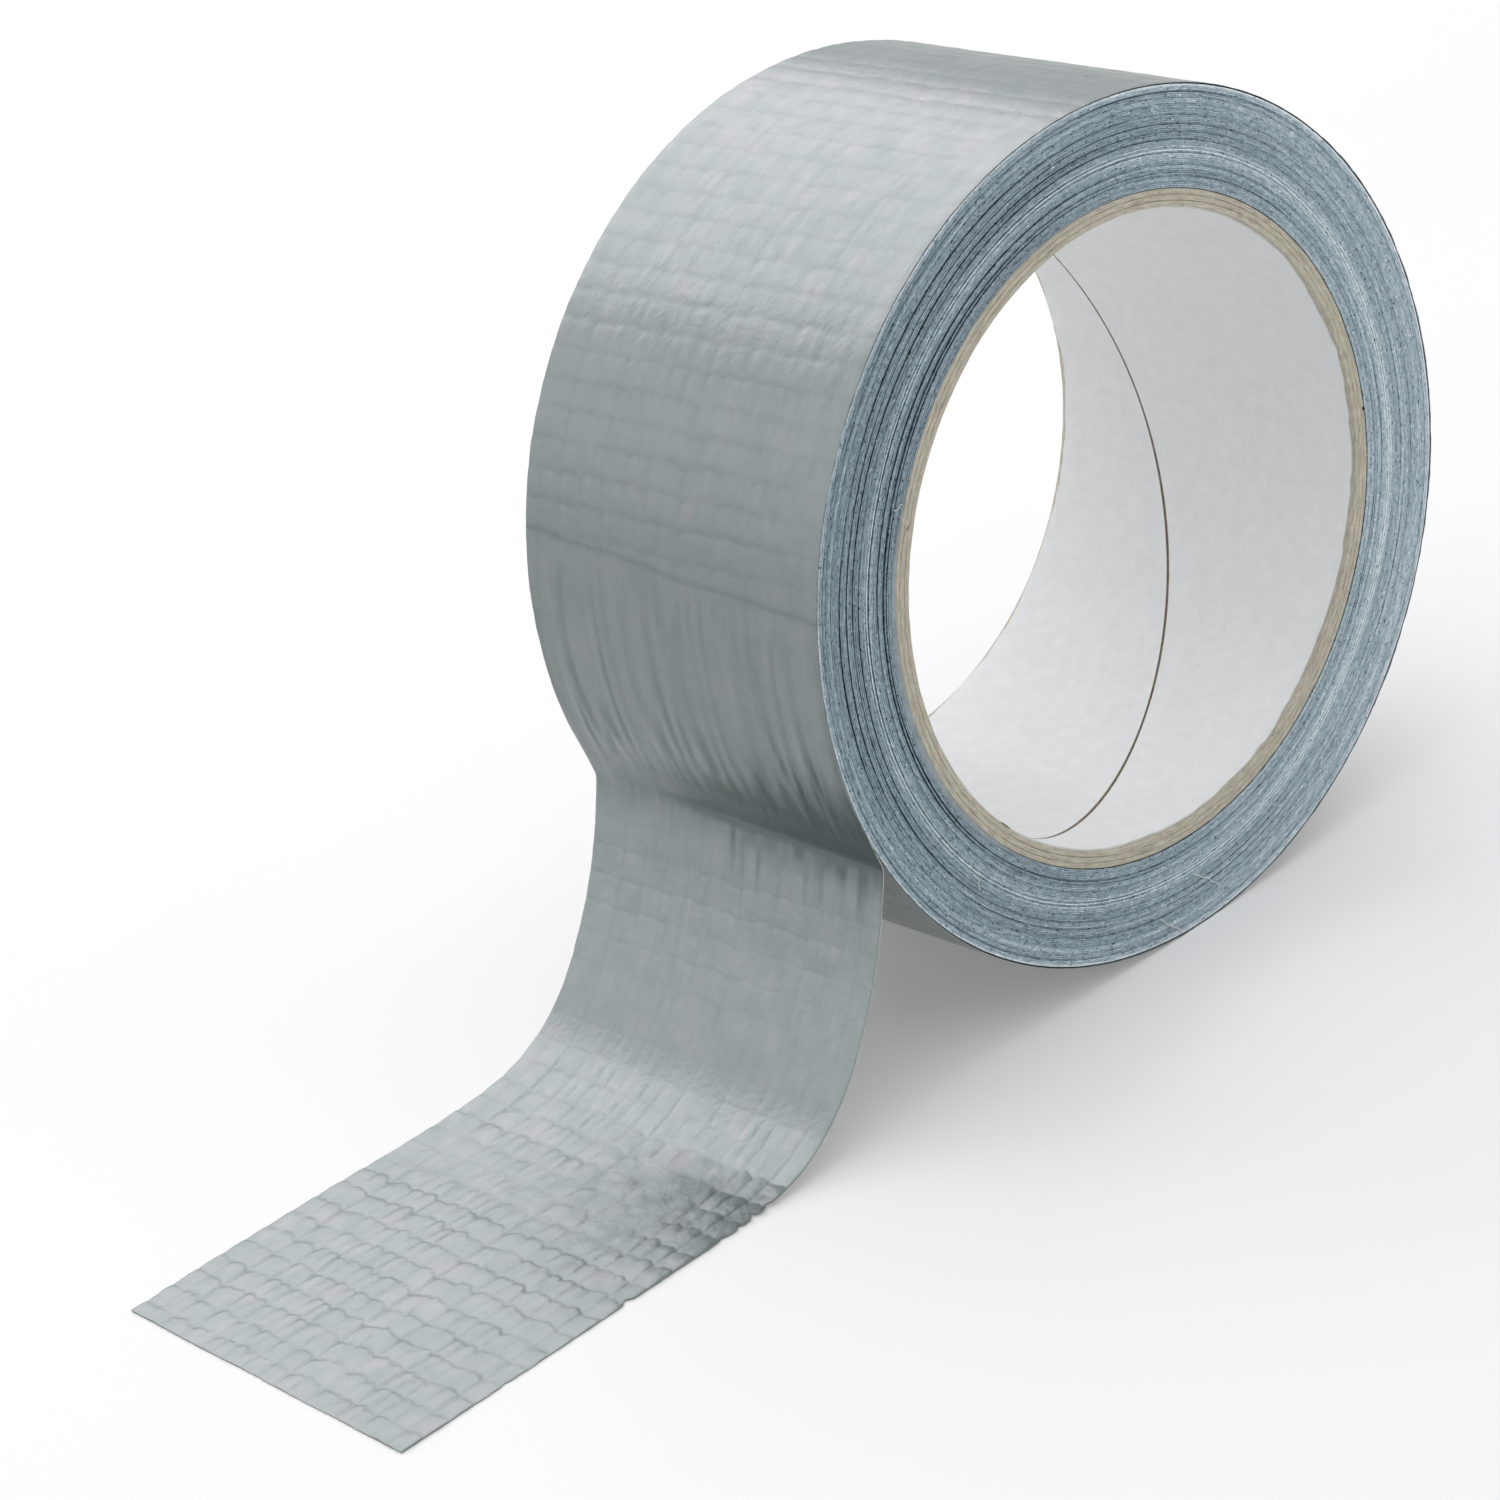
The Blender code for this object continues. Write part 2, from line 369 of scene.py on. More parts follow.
def along_cell(along, across, column, part, laid):
    """(row, rise): each point's row, and how far past its crosswise line the point is. The crosswise
    lines hook towards the cut end where they meet lengthwise ones."""
    stagger = CELL_STAGGER[column] * ROW_PITCH
    slant = 0.4 * (part - 0.5) * CELL_SLANT[column]
    hook = COLUMN_DEPTHS[column - 1] * np.exp(-((part * 4.6) ** 1.5))
    hook = hook + COLUMN_DEPTHS[column] * np.exp(-(((1 - part) * 4.6) ** 1.5))
    hook = 0.55 * hook * (laid + 0.35)
    waver = 0.26 * noise(along / 2.6, across / 1.7, 12)
    waver = waver + 0.14 * noise(along / 1.5, across / 0.7, 9)
    waver = waver * (0.65 + 0.60 * laid)
    phase = (along + stagger + slant + waver - hook - 0.02 * across) / ROW_PITCH
    row = np.floor(phase).astype(int)
    return row, phase - row


def crosswise_lines(row, rise, column, line_width):
    """Lines between rows, each pressed to its own depth in each cell."""
    nearest = np.where(rise < 0.5, row - 1, row)
    from_line = np.minimum(rise, 1 - rise) * ROW_PITCH
    return CELL_LINE_DEPTH[nearest % CELL_ROWS, column] * bump(from_line, 0, line_width)


def lengthwise_lines(along, column, part, left, right, line_width):
    """Lines between columns, each fading in and out along the tape."""
    nearest = np.where(part < 0.5, column - 1, column)
    from_line = np.where(part < 0.5, left, right)
    fading = 0.75 + 0.45 * noise(along / 6, nearest * 7.3, 13)
    return COLUMN_DEPTHS[nearest] * fading * bump(from_line, 0, line_width)


def pillows(row, rise, column, part, laid):
    """Swellings between the lines, each cell a little different, highest next to their upper line."""
    dome = (16 * part * (1 - part) * rise * (1 - rise)) ** (1.15 - 0.45 * laid)
    tilt = CELL_TILT[row % CELL_ROWS, column] * (part - 0.5)
    lean = 0.45 * (laid**2 + 0.3) * rise * (1 - rise) ** 2 * 6.75
    return dome * (CELL_HEIGHT[row % CELL_ROWS, column] + 0.7 * tilt) + lean


def pulled_crests(along, place):
    """Crests of the ridges that the pull of the free end raises."""
    pull = noise(place / 1.9, along / 21, 15)
    return (1 - np.minimum(np.abs(pull) * 2.0, 1)) ** 1.5


def crease_shade(along, up, across):
    """How dark the crease is, which is most in a jagged patch next to the front edge."""
    jags = 0.5 + 0.5 * noise(along / 5, across / 0.9, 20)
    above = (1 - ramp(up, 3, 16)) * ramp(up, -5.0, -0.5)
    shade = above * (0.45 + 0.65 * (1 - ramp(across, 0, 36))) * (0.6 + 0.6 * jags)
    top = up + 5 * noise(across / 1.1, 4.5, 26)
    core = ramp(up, -1.5, 0.3) * (1 - ramp(top, 5.5, 9))
    shade += 0.60 * core * (1 - ramp(across, 26, 40))
    shade += 0.40 * bump(up, 0.4, 0.7) * (1 - ramp(across, 30, 48))
    below = ramp(along, 0.5, 2) * (1 - ramp(along, 4, 10))
    return shade + 0.75 * below * jags**2 * (1 - ramp(across, 14, 40))


def foot_ripples(along, across, row):
    """(ripples, reach) of the film just past the foot, which ripples most of all at the front. The
    reach also sets where a painted dark reflection lies there.
    """
    ripples = noise(along / 1.1, across / 1.7, 25)
    cell_start = 0.5 * (along + (row + 0.5) * ROW_PITCH)
    reach = ramp(cell_start, 39.5, 43.5) * (1 - ramp(along, 46, 76))
    return ripples, reach * (1 - ramp(across, 12, 38))


def film_relief(along, across, line_width):
    """(height, shade) of the film's relief, from distances in metres and a line width in
    millimetres. The height is in metres, and the shade is painted shade for the film's colour: in
    pressed lines, folds and the crease, beside pulled ridges, and on parts of the roll and the laid end."""
    along, across = np.broadcast_arrays(along / MM, across / MM)
    up = -along
    laid, hanging, taut, wound, creased = stretches(along, up)
    column, part, left, right = across_cell(along, across)
    row, rise = along_cell(along, across, column, part, laid)

    row_line = crosswise_lines(row, rise, column, line_width)
    row_strength = laid + 0.45 * hanging + 0.75 * wound + 0.12 * taut + 0.3 * creased
    row_line = row_line * row_strength * (0.55 + 0.45 * ramp(across, 2, 13))
    # On the roll the lengthwise lines show only as ticks beside the crosswise ones.
    ticks = 0.25 + 0.75 * (1 - rise) ** 2
    column_line = lengthwise_lines(along, column, part, left, right, line_width)
    column_line = column_line * (laid + 0.5 * hanging + 0.8 * wound * ticks + 0.3 * taut)
    pillow_strength = 0.85 * laid + 0.60 * hanging + 0.52 * wound + 0.15 * taut
    pillow = pillows(row, rise, column, part, laid) * pillow_strength
    dimples = noise(along / 0.95, across / 1.15, 8)
    dimples = dimples + 0.6 * noise(along / 0.5, across / 0.8, 7)

    ridges = pulled_crests(along, across)
    # A painted shadow beside each pulled ridge; it only darkens the colour.
    ridge_painted_shadow = pulled_crests(along, across + 0.55) * (1 - ridges)
    ridge_growth = taut * (0.50 + 0.55 * (1 - ramp(up, 9, 28)))
    streaks = noise(across / 0.75, along / 26, 16) * (0.12 + 0.8 * bump(up, 86, 17))
    # The line where the turn was once bent, and crumples at the crease, strongest at the front edge.
    old_bend = bump(up, 32.6 + 0.045 * across + 0.25 * noise(across / 6, 1.5, 19), 0.35)
    crumples = noise((along + 0.5 * across) / 0.9, across / 3.5, 18) * creased
    crumples = crumples * (0.25 + bump(across, 0, 4) + 0.3 * bump(across, 13, 9))
    ripples, ripple_and_reflection_reach = foot_ripples(along, across, row)
    swell = noise(along / 14, across / 12, 21)
    sway = noise(along / 5, across / 16, 22)

    # Painted shade for the film's colour: darker in the pressed lines, the old bend line and the crease.
    painted_shade = 0.30 * row_line + 0.28 * column_line + 0.30 * old_bend + 0.48 * ridge_painted_shadow * ridge_growth
    # The crease's painted shade, and a painted dark reflection just past the foot, mottled by the
    # ripples.
    painted_shade = painted_shade + crease_shade(along, up, across) + ripple_and_reflection_reach * (0.42 + 0.22 * ripples)
    # Painted shade on the roll for some way above the line where the tape leaves it.
    painted_shade = painted_shade + 0.32 * ramp(up, 6, 14) * (1 - ramp(up, 38, 68))
    # Painted shade near the top of the roll, more towards the front edge.
    painted_shade = painted_shade + 0.20 * bump(up, 130, 20) * (1 - ramp(across, 5, 36))
    # Painted shade on the laid part, more towards the front edge.
    front_painted_shade = 0.05 + 0.10 * (1 - ramp(across, 3, 25))
    painted_shade = np.clip(painted_shade + front_painted_shade * laid, 0, 1)
    height = (
        -0.060 * row_line
        - 0.065 * column_line
        + 0.105 * pillow
        + 0.016 * dimples * (pillow_strength + 0.15)
        + 0.17 * ridges * ridge_growth
        + 0.026 * ripples * ripple_and_reflection_reach
        + 0.020 * streaks
        - 0.035 * old_bend
        + 0.060 * crumples
        + (0.14 * laid + 0.03) * swell
        + 0.020 * sway * (wound + taut + 0.4)
    )
    return height * MM, painted_shade


# ---- The tape's edges and layers, in metres again ----

# Nicks in the free end's front edge: distance along the tape, depth and half width.
NICKS = (
    (43.0 * MM, 0.50 * MM, 0.45 * MM),
    (45.2 * MM, 0.75 * MM, 0.40 * MM),
    (47.6 * MM, 0.45 * MM, 0.35 * MM),
    (50.4 * MM, 0.30 * MM, 0.50 * MM),
    (64.8 * MM, 0.60 * MM, 0.55 * MM),
    (83.0 * MM, 0.22 * MM, 0.40 * MM),
)


def edge_shift(along, edge):
    """How far the tape's edge strays outwards from its straight cut. Edge is 0 in front and 1 behind."""
    stray = 0.05 * MM * noise(along / (2.2 * MM), 9.5 * edge, 31)
    stray = stray + 0.035 * MM * noise(along / (0.6 * MM), 3.5 * edge, 32)
    if edge == 0:
        for place, depth, half_width in NICKS:
            stray = stray - depth * bump(along, place, half_width)
    return stray


def across_places(columns, along):
    """(rows, columns) of distances across the tape that keep inside its strayed edges."""
    share = np.linspace(0, 1, columns)[None, :]
    front = -edge_shift(along, 0)[:, None] * (1 - ramp(share, 0, 0.08))
    back = edge_shift(along, 1)[:, None] * ramp(share, 0.92, 1)
    return share * WIDTH + front + back


def cut_shift(along, across):
    """How far the torn cut at the tape's end strays along it, fading out a little way back."""
    ragged = 0.07 * MM * noise(across / (1.27 * MM), 0.5, 33)
    ragged = ragged + 0.12 * MM * noise(across / (9 * MM), 2.5, 34)
    ragged = ragged - 0.35 * MM * bump(across, 1.2 * MM, 0.5 * MM) - 0.2 * MM
    return ramp(along, CUT_END - 4 * MM, CUT_END) * ragged


def layer_places(stations, columns):
    """(along, across) of a layer's grid of points."""
    across = across_places(columns, stations)
    return stations[:, None] + cut_shift(stations[:, None], across), across


def layer_solid(name, place, along, across, detailed, plain, steps, painted_shade=None, closed=False):
    """A layer with one detailed side, and a plain side at one height that has fewer points."""
    columns = along.shape[1]
    # The plain side runs back from the last column to the first in a few steps.
    turned = np.linspace(columns - 1, 0, steps + 1).round().astype(int)
    along = np.concatenate([along, along[:, turned]], axis=1)
    across = np.concatenate([across, across[:, turned]], axis=1)
    level = np.full((len(along), len(turned)), plain)
    height = np.concatenate([detailed, level], axis=1)
    places = np.stack(np.broadcast_arrays(along, across, height), axis=-1) / MM
    attributes = {"tape_place": places}
    if painted_shade is not None:
        attributes["painted_shade"] = np.concatenate([painted_shade, np.zeros(level.shape)], axis=1)
    points = place(along, across, height)
    if detailed.max() < plain:
        # The detailed side is underneath, so the rows run the other way to face it outwards.
        points = points[::-1]
        attributes = {key: values[::-1] for key, values in attributes.items()}
    return swept_solid(name, points, closed, attributes, columns)


def film_piece(name, place, stations, columns, line_width, closed=False):
    """The film: a relief on top, a plain underside, and rounded edges."""
    along, across = layer_places(stations, columns)
    height, painted_shade = film_relief(along, across, line_width)
    edges = np.zeros(columns)
    edges[[0, -1]] = 0.03 * MM
    top = np.maximum(FILM_TOP + height - edges, FILM_BOTTOM + 0.01 * MM)
    return layer_solid(name, place, along, across, top, FILM_BOTTOM, 12, painted_shade, closed)


def adhesive_piece(name, place, stations, columns):
    """The rubber adhesive, which follows the scrim's threads underneath."""
    along, across = layer_places(stations, columns)
    warp = np.cos(TAU * across / WARP_PITCH)
    weft = np.cos(TAU * along / WEFT_PITCH)
    lumps = noise(along / (2.5 * MM), across / (2.5 * MM), 41)
    bottom = ADHESIVE_BOTTOM + (0.020 - 0.009 * (warp + weft) + 0.008 * lumps) * MM
    return layer_solid(name, place, along, across, bottom, ADHESIVE_TOP, 8)


# ---- Threads ----

THREAD_RADIUS = 0.030 * MM


def tube_parts(path, radius, sides, first_index):
    """(points, quads, caps) of a thin tube along a path, its corners numbered from first_index."""
    path = np.asarray(path)
    tangent = np.gradient(path, axis=0)
    tangent /= np.linalg.norm(tangent, axis=1)[:, None]
    side = np.cross(tangent, np.where(np.abs(tangent[:, 1:2]) > 0.8, [[1.0, 0, 0]], [[0, 1.0, 0]]))
    side /= np.linalg.norm(side, axis=1)[:, None]
    other = np.cross(tangent, side)
    turn = np.arange(sides) * TAU / sides
    ring = side[:, None] * np.cos(turn)[None, :, None] + other[:, None] * np.sin(turn)[None, :, None]
    points = (path[:, None] + radius * ring).reshape(-1, 3)
    quads = grid_quads(len(path), sides, False) + first_index
    start = np.arange(sides) + first_index
    return points, quads, [start[::-1], start + (len(path) - 1) * sides]


def threads_object(name, paths, radius, sides):
    """Many thin tubes as one object."""
    points, quads, caps, count = [], [], [], 0
    for path in paths:
        tube_points, tube_quads, tube_caps = tube_parts(path, radius, sides, count)
        points.append(tube_points)
        quads.append(tube_quads)
        caps += tube_caps
        count += len(tube_points)
    return mesh_object(name, np.concatenate(points), np.concatenate(quads), caps)


def scrim_piece(name, place, start, end, frayed_end=False):
    """The scrim: warp threads along the tape and weft threads across it, over and under each other."""
    rng = np.random.default_rng(51)
    middle = (ADHESIVE_TOP + FILM_BOTTOM) / 2
    paths = []
    for number, at in enumerate(np.arange(WARP_PITCH / 2, WIDTH, WARP_PITCH)):
        last = end + (rng.uniform(-0.1, 0.12) * MM if frayed_end else 0)
        along = np.append(np.arange(start, last, WEFT_PITCH / 2), last)
        over = np.cos(TAU * along / WEFT_PITCH + math.pi * number)
        stray = at + 0.06 * MM * noise(along / (4 * MM), number * 3.1, 52)
        paths.append(place(along, stray, middle + 0.008 * MM * over))
    for number, at in enumerate(np.arange(start + WEFT_PITCH / 4, end, WEFT_PITCH)):
        low, high = -rng.uniform(0.0, 0.12) * MM, WIDTH + rng.uniform(0.0, 0.12) * MM
        low += sum(depth * bump(at, nick, width) for nick, depth, width in NICKS) * 0.6
        line = np.linspace(low, high, 80)
        over = np.cos(TAU * line / WARP_PITCH / 2 + math.pi * number)
        stray = at + 0.08 * MM * noise(line / (5 * MM), number * 2.3, 53)
        paths.append(place(stray, line, middle - 0.008 * MM * over))
    return threads_object(name, paths, THREAD_RADIUS, 4)


# ---- The wound turns' cut edges ----

EDGE_STEPS = 440
# Where in a turn's thickness its edge is sampled, and how far in from the front of the edge.
EDGE_PROFILE = ((0.00, 1.0), (0.16, 0.12), (0.52, 0.0), (0.86, 0.08))
# Lighter bands of turns: radius, half width and strength.
PALE_BANDS = (
    (44.8 * MM, 0.65 * MM, 0.25),
    (50.5 * MM, 0.30 * MM, 0.16),
    (52.5 * MM, 0.40 * MM, 0.35),
)


def round_places(angle, radius, third):
    """Places for materials that run round the axis with no join: a circle, and a distance off it."""
    return np.stack(np.broadcast_arrays(radius * np.cos(angle), radius * np.sin(angle), third), axis=-1)


def wound_half(name, side):
    """Half of the wound turns, from the middle of the roll's width to one side. Side is -1 in front
    and 1 behind. The side face is a stack of thin edges with a hairline between turns, and their
    tone carries painted shade and painted light."""
    inner = CORE_RADIUS + 0.05 * MM
    outer = ROLL_RADIUS - LAMINATE - 0.01 * MM
    turns = round((outer - inner) / LAMINATE)
    rng = np.random.default_rng(60 + side)
    angle = np.arange(EDGE_STEPS) * TAU / EDGE_STEPS
    slow = angle * 14 / TAU
    quick = angle * 96 / TAU
    steps = rng.normal(0, 0.020 * MM, turns)
    drift = np.cumsum(steps) - np.linspace(0, steps.sum(), turns)
    hairline = rng.uniform(0.04, 0.10, turns) * MM
    sunken = rng.random(turns) < 0.30
    sunken &= ~np.roll(sunken, 1)
    # Sunken turns get a darker tone as painted shade; the rest of the tone differs at random.
    turn_tone_and_shade = np.where(sunken, rng.uniform(0.26, 0.40, turns), rng.uniform(0.46, 0.62, turns))
    openness = 0.5 - 0.5 * np.cos(angle + math.radians(20))
    # Painted light: the cut edges lighter round towards +X and below the axis, darker towards -X and
    # above.
    painted_light_by_angle = 0.11 * np.cos(angle + math.radians(25))
    radii, depths, tones = [], [], []
    for turn in range(turns):
        swing = 0.045 * MM * noise(slow, turn * 0.6, 61, 14)
        swing = swing + 0.020 * MM * noise(quick, turn * 1.7, 62, 96)
        opening = 0.6 + 0.6 * noise(slow, turn * 1.3 + 40, 63, 14)
        for part, depth in EDGE_PROFILE:
            radius = inner + (turn + part) * (outer - inner) / turns
            radii.append(radius + 0.07 * MM * noise(slow, radius / (1.8 * MM), 64, 14))
            fall = 0.22 * MM * sunken[turn] * np.clip(opening, 0.3, 1) * (0.3 + 0.7 * openness)
            depths.append(0.08 * MM + drift[turn] + swing + fall + depth * hairline[turn] * opening)
            pale = sum(strength * bump(radius, at, width) for at, width, strength in PALE_BANDS)
            # Painted shade: each hairline between turns darker, and sunken turns darkest where they open
            # most.
            shade = turn_tone_and_shade[turn] + pale * (1 - 0.5 * sunken[turn]) - 0.35 * (part == 0) + painted_light_by_angle
            tones.append(shade + 0.14 * sunken[turn] * (1 - opening * openness))
    radii.append(np.full(EDGE_STEPS, outer))
    depths.append(depths[-1])
    tones.append(tones[-1])
    radii, depths = np.array(radii), np.array(depths)
    depths[0] = depths[1]
    y = side * (WIDTH / 2 - np.maximum(depths, 0))
    inside = np.zeros((1, EDGE_STEPS))
    radii = np.concatenate([radii, inside + outer, inside + inner])
    y = np.concatenate([y, inside, inside])
    tones = np.concatenate([tones, inside + 0.4, inside + 0.4])
    turn_angle = np.broadcast_to(angle, radii.shape)
    points = round_axis(radii, turn_angle, AXIS.y + y)
    places = round_places(turn_angle, 47, radii / MM)
    quads = grid_quads(len(radii), EDGE_STEPS, True)
    quads = quads if side > 0 else quads[:, ::-1]
    attributes = {"edge_place": places.reshape(-1, 3), "edge_tone_and_shade": tones.ravel()}
    return mesh_object(name, points.reshape(-1, 3), quads, (), attributes)


def start_tab(name):
    """The folded start of the tape beside the core, whose smooth edge shows as a thin crescent."""
    angle = np.radians(np.linspace(148, 232, 180))
    share = np.linspace(0, 1, len(angle))
    width = 0.80 * MM * np.sin(math.pi * share) ** 0.6 + 0.02 * MM
    width *= 1 + 0.06 * noise(share * 16, 2.5, 71)
    inner = CORE_RADIUS + 0.03 * MM
    section = ((0.0, 0.0), (0.0, 0.16), (0.2, 0.20), (0.7, 0.19), (1.0, 0.12), (1.0, 0.0))
    rows = []
    for part, proud in section:
        radius = inner + part * width
        y = FRONT_Y + 0.20 * MM - proud * MM * (1 + 0.1 * noise(share * 22, part * 3, 72))
        rows.append(round_axis(radius, angle, y))
    return swept_solid(name, np.stack(rows, axis=1), False)


# ---- The core ----

CORE_STEPS = 600


def seam_angle(y):
    """Where the liner's seam is at a distance y along the roll's axis."""
    return SEAM_START + SEAM_TURN * (y - FRONT_Y) / WIDTH


def board_ply(name, number):
    """One ply of the core, with torn fibres on its end faces and a notch where its seam ends."""
    inner = BORE_RADIUS + LINER_THICKNESS + (number + 0.03) * PLY_PITCH
    outer = inner + PLY_THICKNESS
    angle = np.arange(CORE_STEPS) * TAU / CORE_STEPS
    lattice = angle * 150 / TAU
    slow = angle * 24 / TAU
    parts = (0.0, 0.06, 0.25, 0.5, 0.75, 0.94, 1.0)
    rims = (0.05, 0.01, 0.0, 0.0, 0.0, 0.01, 0.05)
    rng = np.random.default_rng(80 + number)
    notch = rng.uniform(0, TAU, 2)
    rows = []
    for side in (-1, 1):
        face = []
        for part, rim in zip(parts, rims):
            fibres = 0.030 * MM * noise(lattice, part * 5 + number * 9, 81 + side, 150)
            fibres += 0.035 * MM * noise(slow, part * 2 + number * 5, 83 + side, 24)
            place = notch[(side + 1) // 2] + 0.5 * MM * (part - 0.5) / inner
            gap = 0.35 * MM * bump(np.angle(np.exp(1j * (angle - place))), 0, 0.16 * MM / inner)
            depth = 0.10 * MM + rim * MM + fibres + gap
            radius = inner + part * (outer - inner)
            face.append((np.full(CORE_STEPS, radius), AXIS.y + side * (WIDTH / 2 - depth)))
        rows += face if side < 0 else face[::-1]
    radii, y = np.array(rows).transpose(1, 2, 0)
    angle = np.broadcast_to(angle[:, None], radii.shape)
    places = round_places(angle, 40, (radii + y) / MM)
    return swept_solid(name, round_axis(radii, angle, y), True, {"board_place": places})


def liner_piece(name):
    """The paper liner: one strip in a helix, whose edges meet in an open butt seam and curl a little."""
    steps, lengths = 420, 84
    share = np.linspace(0, 1, steps)[:, None]
    y = np.linspace(FRONT_Y + LINER_INSET, BACK_Y - LINER_INSET, lengths)[None, :]
    gap = SEAM_GAP * (1 + 0.35 * noise(y / (6 * MM), 0.5, 91)) / BORE_RADIUS
    ends = ramp(np.abs(y), WIDTH / 2 - 2.0 * MM, WIDTH / 2 - LINER_INSET)
    angle = seam_angle(y) + gap / 2 + share * (TAU - gap)
    from_seam = np.minimum(share, 1 - share) * TAU * BORE_RADIUS
    curl = 0.02 * MM * np.exp(-from_seam / (0.9 * MM))
    curl = curl * (0.6 + 0.4 * noise(y / (5 * MM), share * 2, 92))
    ripple = 0.018 * MM * noise(share * 60, y / (9 * MM), 93, 60)
    ripple = ripple + 0.012 * MM * noise(share * 20, y / (20 * MM), 94, 20)
    inner = BORE_RADIUS - curl + ripple + 0.05 * MM * ends
    outer = np.full(inner.shape, BORE_RADIUS + LINER_THICKNESS)
    ragged = 0.14 * noise(share * 160, np.sign(y), 95, 160)
    ragged = ragged + 0.30 * noise(share * 31, np.sign(y), 97, 31)
    ragged_y = y + ragged * MM * ends
    outside = round_axis(outer, angle, ragged_y)[:, ::-1]
    points = np.concatenate([round_axis(inner, angle, ragged_y), outside], axis=1)[::-1]
    places = round_places(angle, 38, y / MM)
    places = np.concatenate([places, places[:, ::-1]], axis=1)[::-1]
    return swept_solid(name, points, False, {"board_place": places}, lengths)


def seam_strip(name):
    """The brown kraft ply that shows in the liner's open seam, darkened as painted shade in the gap."""
    y = np.linspace(FRONT_Y + 0.3 * MM, BACK_Y - 0.3 * MM, 260)[:, None]
    section = ((-0.5, 0.12), (0.1, 0.10), (0.5, 0.12), (0.5, 0.24), (-0.5, 0.24))
    share, depth = np.array(section).T[:, None]
    angle = seam_angle(y) + share * 1.3 * MM / BORE_RADIUS
    radius = BORE_RADIUS + depth * MM + 0.015 * MM * noise(y / (1.2 * MM), share * 3, 96)
    places = round_places(angle, 38, y / MM)
    return swept_solid(name, round_axis(radius, angle, y), False, {"board_place": places})


# ---- Materials ----


class Shader:
    """A material or a world, and short calls that add nodes to it and give back an output."""

    def __init__(self, name, kinds=bpy.data.materials, surface="Principled BSDF"):
        self.owner = kinds.new(name)
        self.owner.use_nodes = True
        self.tree = self.owner.node_tree
        self.surface = self.tree.nodes[surface]

    def feed(self, node, inputs):
        for key, value in inputs.items():
            if isinstance(value, bpy.types.NodeSocket):
                self.tree.links.new(value, node.inputs[key])
            else:
                node.inputs[key].default_value = value

    def add(self, kind, inputs, **settings):
        node = self.tree.nodes.new("ShaderNode" + kind)
        for key, value in settings.items():
            setattr(node, key, value)
        self.feed(node, inputs)
        return node.outputs

    def attribute(self, name, output="Vector"):
        return self.add("Attribute", {}, attribute_name=name)[output]

    def stretched(self, vector, scale):
        return self.add("VectorMath", {0: vector, 1: scale}, operation="MULTIPLY")["Vector"]

    def noise(self, vector, scale, detail=2.0, roughness=0.5):
        """Noise of a scale, or of three scales along the vector's axes."""
        if isinstance(scale, tuple):
            vector, scale = self.stretched(vector, scale), 1.0
        inputs = {"Vector": vector, "Scale": scale, "Detail": detail, "Roughness": roughness}
        return self.add("TexNoise", inputs)["Fac"]

    def strays(self, vector, scale):
        """A small random offset at each place, up to a fifth of a unit."""
        colour = self.add("TexNoise", {"Vector": vector, "Scale": scale, "Detail": 1.0})["Color"]
        middled = self.add("VectorMath", {0: colour, 1: (0.5, 0.5, 0.5)}, operation="SUBTRACT")["Vector"]
        return self.stretched(middled, (0.4, 0.4, 0.0))

    def lines(self, vector, axis, pitch):
        """Parallel lines a pitch apart along an axis of a vector: 1 on a line, and 0 between."""
        along = self.add("SeparateXYZ", {"Vector": vector})[axis]
        phase = self.scaled(along, TAU / pitch)
        wave = self.add("Math", {0: phase}, operation="COSINE")[0]
        return self.step(wave, 0.55, 0.95)

    def ramp(self, value, stops):
        """A value or colour ramp, from (position, grey or colour) stops."""
        outputs = self.add("ValToRGB", {"Fac": value})
        ramp = outputs[0].node.color_ramp
        while len(ramp.elements) < len(stops):
            ramp.elements.new(0.5)
        for element, (position, colour) in zip(ramp.elements, stops):
            element.position = position
            rgb = colour if hasattr(colour, "__len__") else (colour,) * 3
            element.color = (*rgb, 1)
        return outputs["Color"]

    def step(self, value, start, end):
        """From black at start to white at end."""
        return self.ramp(value, [(start, 0.0), (end, 1.0)])

    def mix(self, factor, first, second, blend="MIX"):
        first, second = (c if isinstance(c, bpy.types.NodeSocket) else (*c, 1) for c in (first, second))
        node_outputs = self.add("Mix", {}, data_type="RGBA", blend_type=blend)
        node = node_outputs[0].node
        self.feed(node, {0: factor, 6: first, 7: second})
        return node.outputs[2]

    def sum(self, first, second, operation="ADD"):
        return self.add("Math", {0: first, 1: second}, operation=operation)[0]

    def scaled(self, value, factor):
        return self.sum(value, factor, "MULTIPLY")

    def bumped(self, height, distance, strength=1.0, under=None):
        inputs = {"Height": height, "Distance": distance, "Strength": strength}
        if under is not None:
            inputs["Normal"] = under
        return self.add("Bump", inputs)["Normal"]

    def finish(self, **inputs):
        self.feed(self.surface, {key.replace("_", " "): value for key, value in inputs.items()})
        return self.owner


